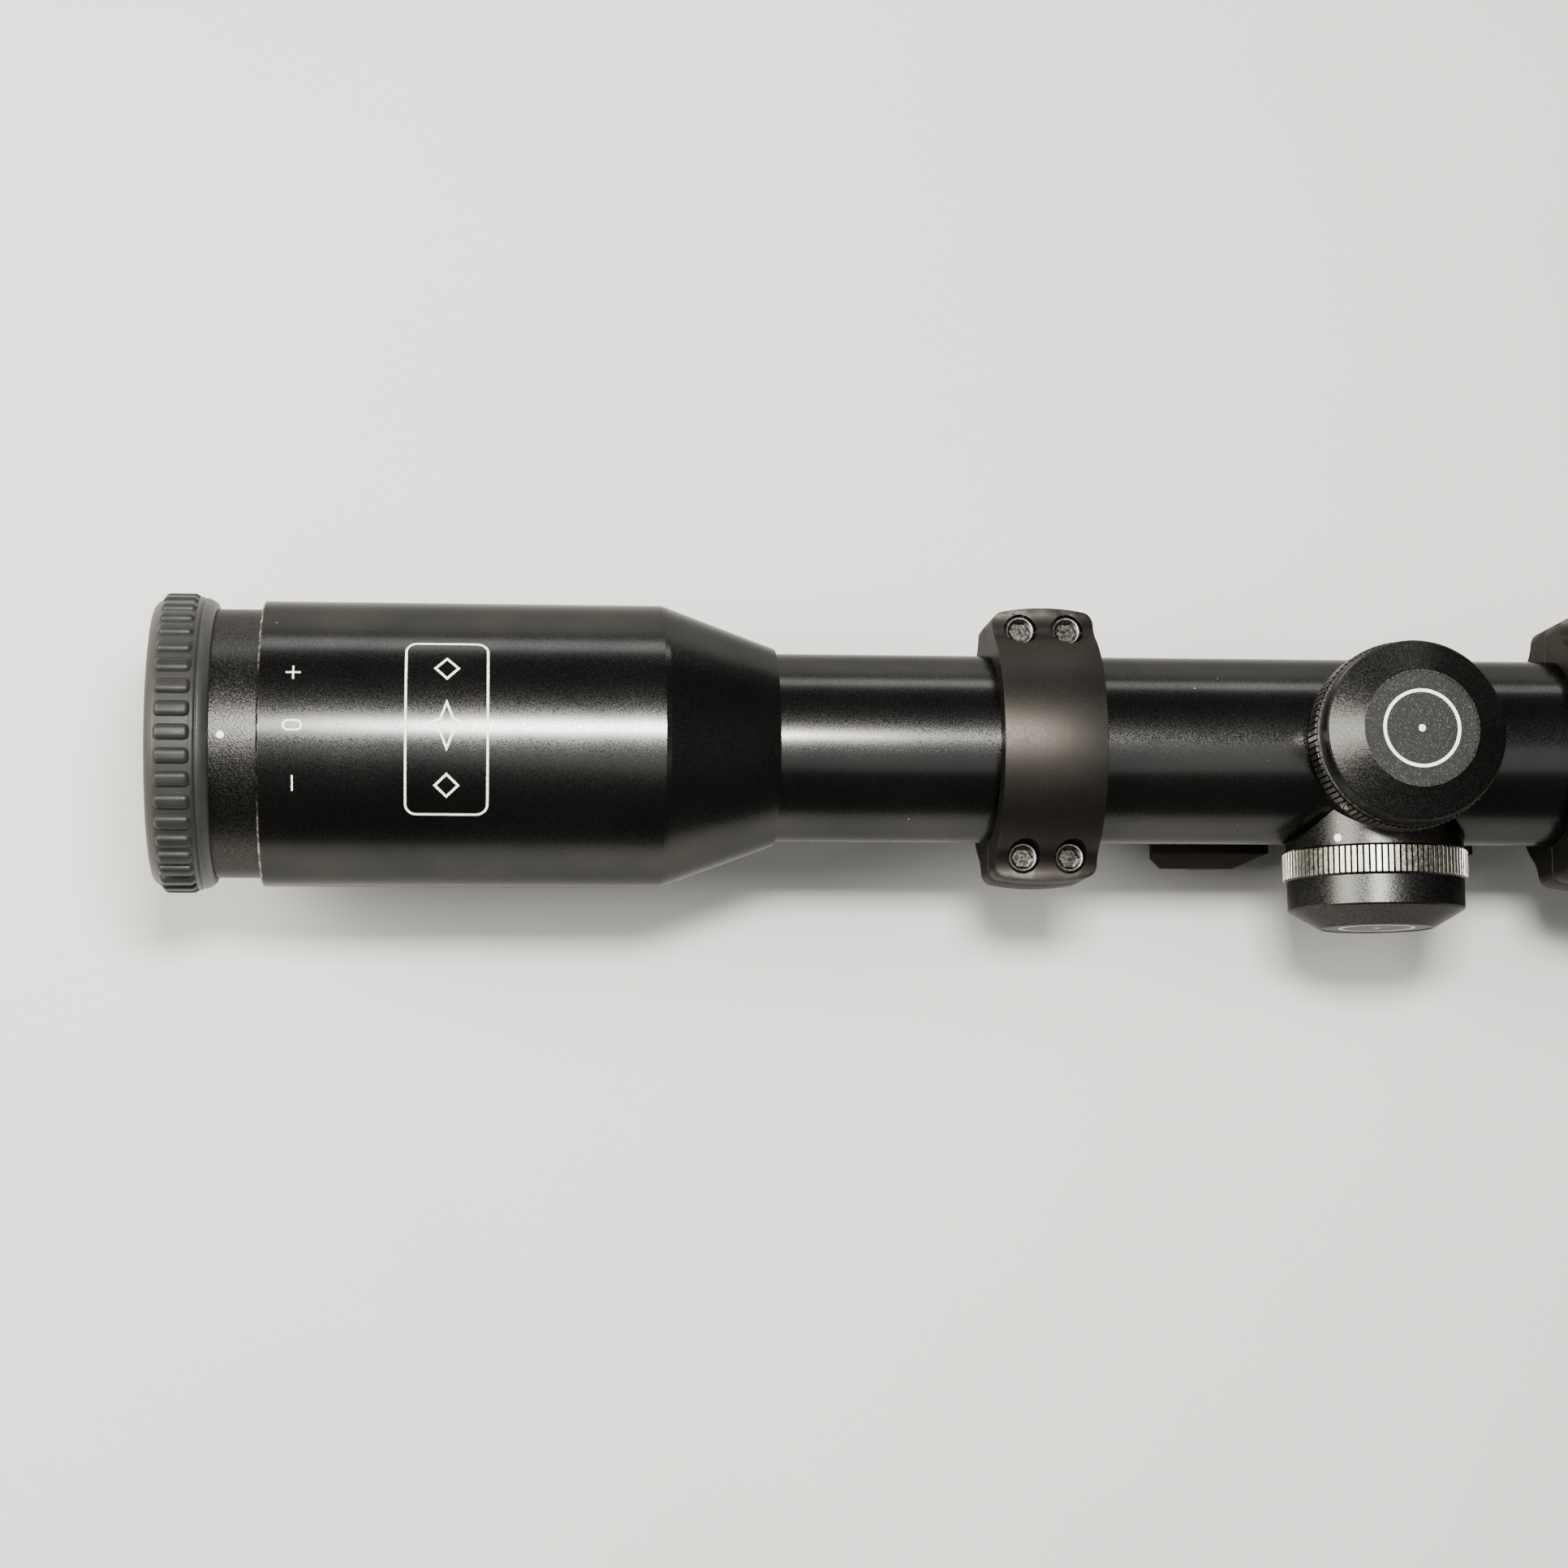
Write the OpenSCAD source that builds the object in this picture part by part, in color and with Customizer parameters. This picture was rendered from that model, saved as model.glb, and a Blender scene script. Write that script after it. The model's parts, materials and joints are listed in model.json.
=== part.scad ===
// Telescopic sight with a one inch tube, two turrets, a diopter ring and a one-piece rail mount.
// Row frame: origin on the rail seat under the middle of the mount, +X to the objective, +Z up.
// The sight's own frame has X = 0 at the turrets and Z = 0 on the optical axis.

/* [Place] */
// Height of the optical axis above the rail seat
axis_h = 27; // [26.5:0.5:32]
// How far the turrets sit ahead of the middle of the mount
turret_x = 7.4; // [4:0.1:9]

/* [Tube and objective bell] */
// Outer radius of the main tube, a one inch tube
tube_r = 12.7; // [12.7:0.1:12.7]
// Bore radius of the main tube
tube_bore = 11.5; // [11.5:0.1:11.6]
// Outer radius of the objective bell
bell_r = 24; // [24:0.1:24.5]
// Where the bell's cone leaves the tube
cone_start = 78; // [74:1:82]
// Where the cone meets the cylinder of the bell
cone_end = 112; // [108:1:116]
// Front rim of the bell
bell_front = 162.5; // [162:0.5:164]

/* [Eyepiece] */
// Outer radius of the eyepiece housing
housing_r = 18.96; // [18.9:0.02:19.2]
// Rear rim of the eyepiece housing
housing_rear = -150.43; // [-151:0.01:-150]
// Where the housing's cylinder turns into its cone
housing_shoulder = -97.6; // [-99:0.1:-96]
// Front end of the housing's cone
housing_front = -82.67; // [-83:0.01:-82]
// Outer radius of the diopter barrel
barrel_r = 17.83; // [17.8:0.01:17.85]
// Outer radius of the rubber ring over its ribs
rubber_r = 19.86; // [19.7:0.02:20]
// Rear face of the rubber ring
rubber_rear = -164.62; // [-165:0.01:-164.4]
// Front face of the rubber ring's flange
rubber_front = -156.46; // [-156.6:0.01:-156.3]
// Number of ribs around the rubber ring
rib_count = 40; // [36:1:44]

/* [Turrets] */
// Radius of the fixed neck under each knob
neck_r = 12; // [11.8:0.05:12.1]
// Height of the neck's top above the optical axis
neck_top = 13.66; // [13.6:0.02:13.8]
// Radius over the knurled band
knurl_r = 12.51; // [12.4:0.01:12.6]
// Number of ridges in the knurled band
knurl_count = 96; // [80:4:120]
// Top of the knurled band
knurl_top = 17.8; // [17.6:0.1:18]
// Radius of the smooth drum above the knurled band
drum_r = 11.98; // [11.8:0.02:12.1]
// Top of the smooth drum
drum_top = 21.75; // [21.5:0.05:22]
// Top face of the knob
knob_top = 24.22; // [24:0.02:24.5]
// Radius of the knob's top face
face_r = 7.7; // [7.6:0.05:7.9]

/* [Rings and mount] */
// Distance between the middles of the two rings
ring_spacing = 78.4; // [76:0.1:80]
// Width of each ring along the tube
ring_w = 13.7; // [13:0.1:14]
// Crown radius of each ring
crown_r = 16.5; // [16.3:0.1:16.8]
// Half width over the ring's flanges
flange_y = 18.4; // [18.3:0.1:18.8]
// Height of the flange above and below the split
flange_h = 6.5; // [6.2:0.1:6.8]
// Distance between the screws of one flange
screw_pitch = 6.3; // [6:0.1:6.5]
// Distance of the screws from the optical axis
screw_y = 15.3; // [15.2:0.1:15.5]
// Half width of the rail's flat top
seat_half = 7.85; // [7.8:0.05:7.9]
// Half width over the rail's edges
rail_half = 10.6; // [10.6:0.05:10.65]
// Pitch of the rail's cross slots
slot_pitch = 10.0076; // [10.0076:0.0001:10.0076]

/* [Hidden] */
$fn = 96;

slack = 0.05;           // running clearance between turning or sliding pieces
far = 60;               // long enough to cut right through anything
ring_x = ring_spacing / 2;

// Ports and pockets in the tube
port_r = 7.05;
spring_angle = -135;    // turns a shape on the tube's top to the side opposite both plungers
spring_screw_x = -29;
spring_screw_r = 0.7;
spigot_r = 12.1;
spigot_rear = 70;

// Turret mechanism, as heights above the optical axis
floor_low = 10.9;
floor_top = 11.95;
well_r = 6.2;
spindle_low = 12;
flange_top = 13.1;
spindle_r = 4.5;
spindle_top = 20.6;
thread_r = 2.5;
lock_low = 13.15;
knob_low = neck_top + slack;
cavity_top = 14.75;
boss_r = 6.9;
click_z = 14.2;
ball_r = 0.45;
ball_x = 6.8;
disc_r = 7.45;
disc_low = 22.9;
set_z = 15.5;
set_hole_r = 0.65;
set_angles = [-132, -12];
plunger_tip = 9.05;
plunger_top = 17.5;
key_w = 3.2;

// Erector and its gimbal
gimbal_x = -75;
erector_r = 8.3;
erector_bore = 7;
erector_rear = -83;
erector_front = 4;
collar_r = 8.9;
pin_r = 0.8;

// Eyepiece
cell_r = 15.2;
cell_bore = 13.8;
cell_rear = -162.8;
cell_front = -130;
barrel_rear = -163.9;
barrel_front = -144.5;
guide_x = -136;
guide_r = 1;
guide_travel = 2.6;
tube_rear = -98;

// Mount, as heights above the rail seat
jaw_low = -6.3;
rail_drop = seat_half - rail_half;
lip_y = 8.75;
jaw_out = 13.6;
jaw_top = 4.4;
bridge_half = 9.5;
bridge_top = 8.5;
bolt_z = -0.4;
bolt_r = 2.5;
jaw_x = [-10.2, -10.2 + 3 * slot_pitch];

// Moves a shape from the sight's own frame to the row frame
module sight() {
    translate([turret_x, 0, axis_h]) children();
}

// Turns a profile of [radius, x] points about the optical axis
module turned(profile) {
    rotate([0, 90, 0]) rotate_extrude() polygon(profile);
}

// Cylinder along the optical axis from one x to another
module along(r, from, to) {
    translate([from, 0, 0]) rotate([0, 90, 0]) cylinder(r = r, h = to - from);
}

// Tube along the optical axis
module sleeve(r, bore, from, to) {
    difference() {
        along(r, from, to);
        along(bore, from - 1, to + 1);
    }
}

// Upright cylinder from one height to another
module upright(r, from, to) {
    translate([0, 0, from]) cylinder(r = r, h = to - from);
}

// Puts a turret shape, made on top of the tube, on the tube's right side
module to_windage() {
    rotate([90, 0, 0]) children();
}

// Ring of round section about the optical axis
module seal_along(ring_r, section_r, x) {
    translate([x, 0, 0]) rotate([0, 90, 0]) rotate_extrude()
        translate([ring_r, 0]) circle(section_r, $fn = 32);
}

// Lens along X with its middle at x, bulging at both faces
module lens(r, thick, x, front_r, rear_r) {
    rotate([0, 90, 0]) rotate_extrude() intersection() {
        translate([0, x - thick / 2]) square([r, thick]);
        translate([0, x + thick / 2 - front_r]) circle(front_r, $fn = 1440);
        translate([0, x - thick / 2 + rear_r]) circle(rear_r, $fn = 1440);
    }
}

// ---- Tube, housing and objective ----

module main_tube() {
    color("#1b1b1d") sight() difference() {
        along(tube_r, tube_rear, cone_start);
        along(tube_bore, tube_rear - 1, cone_start + 1);
        along(spigot_r, spigot_rear, cone_start + 1);
        upright(port_r, 5, 20);
        to_windage() upright(port_r, 5, 20);
        rotate([spring_angle, 0, 0]) translate([spring_screw_x, 0, 0]) upright(spring_screw_r, 10, 12.2);
    }
}

// Bell with a spigot that screws into the tube, a glare baffle and the seat of the objective
module objective_bell() {
    inner_r = bell_r - 1.6;
    seat_x = 145;
    seat_r = 20.9;
    recess_r = 22;
    baffle_x = 118;
    baffle_r = 16.5;
    color("#1b1b1d") sight() turned([
        [spigot_r - 0.8, spigot_rear + 0.2], [spigot_r, spigot_rear + 0.2], [spigot_r, cone_start],
        [tube_r, cone_start], [bell_r - 0.4, cone_end - 0.6], [bell_r, cone_end + 0.6],
        [bell_r, bell_front - 0.6], [bell_r - 0.5, bell_front], [recess_r, bell_front],
        [recess_r, seat_x], [seat_r, seat_x], [seat_r, seat_x - 3], [inner_r, seat_x - 4],
        [inner_r, baffle_x + 1], [baffle_r, baffle_x + 0.2], [baffle_r, baffle_x - 0.2],
        [inner_r, baffle_x - 1], [inner_r, cone_end], [spigot_r - 0.8, cone_start - 2]
    ]);
}

module eyepiece_housing() {
    front_lip = 13.35;
    color("#1b1b1d") sight() difference() {
        turned([
            [0, housing_rear], [housing_r - 0.25, housing_rear], [housing_r, housing_rear + 0.25],
            [housing_r, housing_shoulder - 0.4], [housing_r - 0.2, housing_shoulder + 0.3],
            [front_lip, housing_front], [0, housing_front]
        ]);
        turned([
            [0, housing_rear - 1], [barrel_r + slack, housing_rear - 1], [barrel_r + slack, -142],
            [cell_r + slack, -142], [cell_r + slack, -126], [14.4, -125], [14.4, -103],
            [tube_r - 1.2, tube_rear - 0.2], [tube_r, tube_rear - 0.2], [tube_r, housing_front + 1],
            [0, housing_front + 1]
        ]);
        translate([guide_x, 0, -far]) cylinder(r = guide_r, h = far);
        translate([guide_x, 0, -far - 17.9]) cylinder(r = guide_r + 0.8, h = far);
    }
}

module guide_screw() {
    color("silver") sight() translate([guide_x, 0, 0]) difference() {
        union() {
            upright(guide_r, -17.9, -14.4);
            upright(guide_r + 0.8, -18.9, -17.9);
        }
        translate([-far / 2, -0.2, -19.2]) cube([far, 0.4, 0.7]);
    }
}

// Turret base, mitred against its neighbour on the side that the sign names
module turret_neck(neighbour) {
    difference() {
        union() {
            difference() {
                upright(neck_r, 3, neck_top);
                along(tube_r, -far, far);
                rotate([neighbour * 45, 0, 0]) translate([-far / 2, -far / 2, -far]) cube(far);
            }
            upright(port_r - slack, floor_low, neck_top);
        }
        upright(well_r, floor_top, neck_top + 1);
        translate([0, 0, floor_low]) cube([key_w + 0.1, key_w + 0.1, 4], center = true);
    }
}

module elevation_neck() {
    color("#161617") sight() turret_neck(-1);
}

module windage_neck() {
    color("#161617") sight() to_windage() turret_neck(1);
}

module objective_crown_lens() {
    color("#7f96a8") sight() lens(21.9, 7, 154.7, 95, 80);
}

module objective_flint_lens() {
    color("#8095a0") sight() difference() {
        along(21.9, 146.4, 152.6);
        translate([151.2 + 80, 0, 0]) sphere(80 + 0.01);
    }
}

module objective_lock_ring() {
    color("#202022") sight() difference() {
        turned([[20.6, 156.3], [22, 156.3], [22, 159.2], [21.2, 159.2]]);
        for (a = [0, 180]) {
            rotate([a, 0, 0]) translate([158.4, -0.6, 0]) cube([2, 1.2, far]);
        }
    }
}

module objective_seal() {
    color("#101010") sight() seal_along(21.35, 0.6, 145.7);
}

// ---- Turrets, built on top of the tube ----

module turret_click_ring() {
    count = 60;
    step = 360 / count;
    translate([0, 0, neck_top]) linear_extrude(0.94) difference() {
        circle(9);
        polygon([for (i = [0 : count - 1]) for (k = [0, 1])
            let (r = k == 0 ? 7.3 : 7.55, a = (i + k / 2) * step) [r * cos(a), r * sin(a)]]);
    }
}

module elevation_click_ring() {
    color("#b9a06a") sight() turret_click_ring();
}

module windage_click_ring() {
    color("#b9a06a") sight() to_windage() turret_click_ring();
}

module turret_lock_ring() {
    difference() {
        upright(well_r, lock_low, neck_top - 0.04);
        upright(spindle_r + slack, lock_low - 1, neck_top + 1);
        for (a = [0, 90]) {
            rotate([0, 0, a]) translate([-far / 2, -0.4, 13.42]) cube([far, 0.8, 1]);
        }
    }
}

module elevation_lock_ring() {
    color("#b9a06a") sight() turret_lock_ring();
}

module windage_lock_ring() {
    color("#b9a06a") sight() to_windage() turret_lock_ring();
}

// Flat-topped ridges with narrow grooves between them
module knurl_outline() {
    step = 360 / knurl_count;
    groove = 0.17;
    polygon([for (i = [0 : knurl_count - 1]) for (k = [0, 1, 2])
        let (r = k == 0 ? knurl_r - 0.38 : knurl_r, a = (i + [0, groove, 1 - groove][k]) * step)
        [r * cos(a), r * sin(a)]]);
}

module turret_knob() {
    difference() {
        union() {
            intersection() {
                translate([0, 0, knob_low]) linear_extrude(knurl_top - knob_low) knurl_outline();
                rotate_extrude() polygon([
                    [0, knob_low], [knurl_r - 0.3, knob_low], [knurl_r + 0.1, knob_low + 0.4],
                    [knurl_r + 0.1, knurl_top - 0.4], [knurl_r - 0.3, knurl_top], [0, knurl_top]
                ]);
            }
            rotate_extrude() polygon([
                [0, knurl_top - 1], [drum_r, knurl_top - 1], [drum_r, drum_top - 0.15],
                [drum_r - 0.2, drum_top + 0.1], [face_r, knob_top], [0, knob_top]
            ]);
        }
        upright(disc_r, disc_low, knob_top + 1);
        upright(spindle_r, knob_low - 1, spindle_top + 0.2);
        difference() {
            upright(9.3, knob_low - 1, cavity_top);
            upright(boss_r, knob_low - 2, cavity_top + 1);
        }
        translate([0, 0, click_z]) rotate([0, 90, 0]) cylinder(r = ball_r + 0.02, h = boss_r + 1);
        for (a = set_angles) {
            rotate([0, 0, a]) translate([0, 0, set_z]) rotate([0, 90, 0]) cylinder(r = set_hole_r, h = far);
        }
    }
}

module elevation_knob() {
    color("#19191a") sight() turret_knob();
}

module windage_knob() {
    color("#19191a") sight() to_windage() turret_knob();
}

module turret_knob_disc() {
    upright(disc_r - 0.02, disc_low, knob_top - 0.1);
}

module elevation_knob_disc() {
    color("#3a3a3c") sight() turret_knob_disc();
}

module windage_knob_disc() {
    color("#3a3a3c") sight() to_windage() turret_knob_disc();
}

// Two grub screws that clamp the knob on its spindle
module turret_set_screws() {
    for (a = set_angles) {
        rotate([0, 0, a]) translate([spindle_r, 0, set_z]) rotate([0, 90, 0]) difference() {
            cylinder(r = set_hole_r, h = 6.3);
            translate([0, 0, 5]) cylinder(r = 0.35, h = 2, $fn = 6);
        }
    }
}

module elevation_set_screws() {
    color("#8d8d90") sight() turret_set_screws();
}

module windage_set_screws() {
    color("#8d8d90") sight() to_windage() turret_set_screws();
}

module turret_spindle() {
    rotate_extrude() polygon([
        [thread_r, spindle_low], [6, spindle_low], [6, 12.15], [5.45, 12.15], [5.45, 12.95],
        [6, 12.95], [6, flange_top], [spindle_r, flange_top], [spindle_r, spindle_top],
        [thread_r, spindle_top]
    ]);
}

module elevation_spindle() {
    color("#c2a35a") sight() turret_spindle();
}

module windage_spindle() {
    color("#c2a35a") sight() to_windage() turret_spindle();
}

module turret_seal() {
    rotate_extrude() translate([5.81, 12.55]) circle(0.36, $fn = 24);
}

module elevation_seal() {
    color("#101010") sight() turret_seal();
}

module windage_seal() {
    color("#101010") sight() to_windage() turret_seal();
}

module turret_click_ball() {
    translate([ball_x, 0, click_z]) sphere(ball_r, $fn = 32);
}

module elevation_click_ball() {
    color("silver") sight() turret_click_ball();
}

module windage_click_ball() {
    color("silver") sight() to_windage() turret_click_ball();
}

// Close-coiled spring between the spindle and the ball, its coils drawn as closed rings
module turret_click_spring() {
    coils = 9;
    wire_r = 0.1;
    pitch = (ball_x - ball_r - spindle_r - 2 * wire_r) / (coils - 1);
    translate([spindle_r, 0, click_z]) rotate([0, 90, 0]) rotate_extrude($fn = 32) {
        for (i = [0 : coils - 1]) {
            translate([0.3, wire_r + i * pitch]) circle(wire_r, $fn = 16);
        }
    }
}

module elevation_click_spring() {
    color("silver") sight() turret_click_spring();
}

module windage_click_spring() {
    color("silver") sight() to_windage() turret_click_spring();
}

// Screw that the spindle drives in and out; its square neck keeps it from turning
module turret_plunger() {
    upright(thread_r - slack, 12.9, plunger_top);
    translate([-key_w / 2, -key_w / 2, 10]) cube([key_w, key_w, 3]);
    upright(1.55, plunger_tip, 10.1);
}

module elevation_plunger() {
    color("silver") sight() turret_plunger();
}

module windage_plunger() {
    color("silver") sight() to_windage() turret_plunger();
}

// ---- Gimbal and erector ----

// Two pins across the axis, at both sides, from one radius to another
module pin_pair(from, to) {
    for (side = [0, 180]) {
        rotate([side, 0, 0]) translate([gimbal_x, 0, 0]) upright(pin_r, from, to);
    }
}

module gimbal_seat() {
    color("#5a5a5e") sight() difference() {
        sleeve(tube_bore - 0.02, 10.75, gimbal_x - 5, gimbal_x + 5);
        rotate([90, 0, 0]) pin_pair(10, 12);
    }
}

module gimbal_seat_pins() {
    color("silver") sight() rotate([90, 0, 0]) pin_pair(9.2, 11.3);
}

module gimbal_ring() {
    color("#c2a35a") sight() difference() {
        sleeve(10.3, 9, gimbal_x - 3, gimbal_x + 3);
        translate([gimbal_x, 0, 0]) upright(pin_r + slack, -far, far);
        translate([gimbal_x, 0, 0]) rotate([90, 0, 0]) upright(pin_r + slack, -far, far);
    }
}

module gimbal_tube_pins() {
    color("silver") sight() pin_pair(7.2, 10.1);
}

module erector_tube() {
    color("#6a6a6e") sight() difference() {
        union() {
            along(erector_r, erector_rear, erector_front);
            along(collar_r, -4, erector_front);
        }
        along(erector_bore, erector_rear - 1, erector_front + 1);
        along(erector_bore + 0.4, erector_rear - 1, erector_rear + 6);
        pin_pair(6, 9);
    }
}

module erector_lock_ring() {
    color("#b9a06a") sight() sleeve(erector_bore + 0.4, 6.2, erector_rear + 0.5, erector_rear + 4);
}

module erector_lens_rear() {
    color("#8fa6b5") sight() lens(erector_bore, 4.4, -64, 34, 34);
}

module erector_lens_front() {
    color("#8fa6b5") sight() lens(erector_bore, 4.4, -40, 34, 34);
}

module collector_lens() {
    color("#8fa6b5") sight() lens(erector_bore, 3.2, -6, 40, 40);
}

module reticle_cell() {
    color("#b9a06a") sight() difference() {
        union() {
            sleeve(erector_bore, 5.4, 0.5, erector_front);
            sleeve(collar_r - 0.4, 5.4, erector_front, erector_front + 4);
        }
        along(6.6, 6, 9);
    }
}

module reticle_disc() {
    color("#a9bac4") sight() along(6.6, 6, 7.6);
}

// Bowed leaf that presses the erector tube against both plungers
module return_spring() {
    leaf_w = 4.4;
    color("#9a9a9e") sight() rotate([spring_angle, 0, 0]) difference() {
        rotate([90, 0, 0]) translate([0, 0, -leaf_w / 2]) linear_extrude(leaf_w) polygon([
            [-32, 10.8], [-26, 10.8], [-16, 10.1], [-6, 9.02], [-1, 8.96], [3, 9.3], [8, 10.4],
            [8, 10.8], [3, 9.7], [-1, 9.36], [-6, 9.42], [-16, 10.5], [-26, 11.2], [-32, 11.2]
        ]);
        translate([spring_screw_x, 0, 0]) upright(spring_screw_r, 5, 20);
    }
}

module return_spring_screw() {
    color("silver") sight() rotate([spring_angle, 0, 0]) translate([spring_screw_x, 0, 0]) {
        upright(spring_screw_r, 10.7, 12.1);
        upright(1.3, 10.2, 10.8);
    }
}

// ---- Eyepiece ----

module ocular_cell() {
    color("#2a2a2c") sight() difference() {
        sleeve(cell_r, cell_bore, cell_rear, cell_front);
        translate([guide_x - guide_travel - guide_r, -guide_r - slack, -far - 14.3])
            cube([2 * (guide_travel + guide_r), 2 * (guide_r + slack), far]);
    }
}

module eye_lens() {
    color("#8fa6b5") sight() lens(cell_bore, 6.5, -156.8, 60, 45);
}

module lens_spacer() {
    color("#202022") sight() sleeve(cell_bore, 13, -151.5, -141.5);
}

module field_lens() {
    color("#8fa6b5") sight() lens(cell_bore, 6, -138.4, 50, 70);
}

module eye_lens_ring() {
    color("#202022") sight() difference() {
        turned([[12.4, -161], [cell_bore, -161], [cell_bore, cell_rear], [13.1, cell_rear]]);
        for (a = [0, 180]) {
            rotate([a, 0, 0]) translate([cell_rear - 1, -0.6, 0]) cube([1.8, 1.2, far]);
        }
    }
}

module diopter_barrel() {
    color("#1d1d1f") sight() turned([
        [14.3, barrel_rear], [17.4, barrel_rear], [17.4, -157.5], [barrel_r, -157.5],
        [barrel_r, -148.6], [16.8, -148.6], [16.8, -147.4], [barrel_r, -147.4],
        [barrel_r, barrel_front], [cell_r + slack, barrel_front], [cell_r + slack, -162.9],
        [14.3, -162.9]
    ]);
}

module barrel_seal() {
    color("#101010") sight() seal_along(17.32, 0.52, -148);
}

module rubber_ring() {
    rib_w = 2.15;
    rib_from = -163.3;
    rib_to = -158.8;
    base_r = rubber_r - 0.62;
    color("#3c3c3e") sight() union() {
        turned([
            [17.4, barrel_rear], [15, barrel_rear], [15.3, rubber_rear], [18.2, rubber_rear],
            [18.8, rubber_rear + 0.3], [rubber_r - 0.5, rubber_rear + 0.7], [base_r, rib_from + 0.6],
            [base_r, rib_to - 0.6], [rubber_r - 0.2, rib_to + 0.3], [rubber_r - 0.2, -157.7],
            [rubber_r - 0.75, -157.4], [rubber_r - 0.36, -157.1], [rubber_r - 0.36, rubber_front],
            [barrel_r, rubber_front], [barrel_r, -157.5], [17.4, -157.5]
        ]);
        intersection() {
            sleeve(rubber_r, base_r - 0.3, rib_from - 1, rib_to + 1);
            for (i = [0 : rib_count - 1]) {
                rotate([i * 360 / rib_count, 0, 0]) translate([0, 0, base_r - 1]) linear_extrude(3) {
                    translate([rib_from + rib_w / 2, -rib_w / 2]) square([rib_to - rib_from - rib_w, rib_w]);
                    translate([rib_from + rib_w / 2, 0]) circle(rib_w / 2, $fn = 32);
                    translate([rib_to - rib_w / 2, 0]) circle(rib_w / 2, $fn = 32);
                }
            }
        }
    }
}

// ---- Rings and mount ----

// Outline of a ring seen from above: bowed ends and round corners
module ring_plan() {
    bow_r = 33;
    corner_r = 1.6;
    corner_x = ring_w / 2 - corner_r;
    corner_y = flange_y - bow_r + sqrt(pow(bow_r - corner_r, 2) - pow(corner_x, 2));
    bow_x = corner_x * bow_r / (bow_r - corner_r);
    union() {
        square([ring_w, 2 * corner_y], center = true);
        intersection() {
            translate([0, flange_y - bow_r]) circle(bow_r, $fn = 720);
            translate([0, bow_r - flange_y]) circle(bow_r, $fn = 720);
            square([2 * bow_x, far], center = true);
        }
        for (x = [-1, 1]) {
            for (y = [-1, 1]) {
                translate([x * corner_x, y * corner_y]) circle(corner_r, $fn = 48);
            }
        }
    }
}

// Section of a ring across the tube, as [height, width]: crown, flanges and the fillets between
module ring_section() {
    fillet_r = 4;
    overlap = 0.005;
    fillet_h = flange_h + fillet_r - overlap;
    fillet_y = sqrt(pow(crown_r + fillet_r - overlap, 2) - pow(fillet_h, 2));
    union() {
        circle(crown_r, $fn = 720);
        translate([-1, -flange_y - 1]) square([flange_h + 1, 2 * flange_y + 2]);
        for (side = [-1, 1]) {
            difference() {
                polygon([[0, 0], [fillet_h, side * fillet_y], [0, side * fillet_y]]);
                translate([fillet_h, side * fillet_y]) circle(fillet_r, $fn = 360);
            }
        }
    }
}

// Half ring above the split, bowed along the tube; the lower half is this one mirrored
module half_ring() {
    bulge_r = 52;
    intersection() {
        translate([0, 0, 0.15]) linear_extrude(crown_r) ring_plan();
        translate([0, 0, crown_r - bulge_r]) rotate([90, 0, 0]) rotate_extrude($fn = 360)
            translate([bulge_r - crown_r, 0]) ring_section();
    }
}

// Screw places of one ring, as children at each
module at_screws() {
    for (x = [-1, 1]) {
        for (y = [-1, 1]) {
            translate([x * screw_pitch / 2, y * screw_y, 0]) children();
        }
    }
}

module ring_cap() {
    difference() {
        half_ring();
        along(tube_r, -far, far);
        at_screws() upright(1.5, -1, far);
        at_screws() upright(2.2, 3.6, far);
    }
}

// Socket-head screws that clamp one cap down
module cap_screws() {
    at_screws() difference() {
        union() {
            upright(1.5, -5.5, 3.7);
            rotate_extrude() polygon([[0, 3.6], [2.05, 3.6], [2.05, 6.05], [1.8, 6.3], [0, 6.3]]);
        }
        translate([0, 0, 4.9]) cylinder(r = 1.44, h = 2, $fn = 6);
    }
}

module at_ring(side) {
    translate([side * ring_x, 0, axis_h]) children();
}

module ring_cap_rear() {
    color("#262220") at_ring(-1) ring_cap();
}

module ring_cap_front() {
    color("#262220") at_ring(1) ring_cap();
}

module cap_screws_rear() {
    color("#4c4c50") at_ring(-1) cap_screws();
}

module cap_screws_front() {
    color("#4c4c50") at_ring(1) cap_screws();
}

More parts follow.
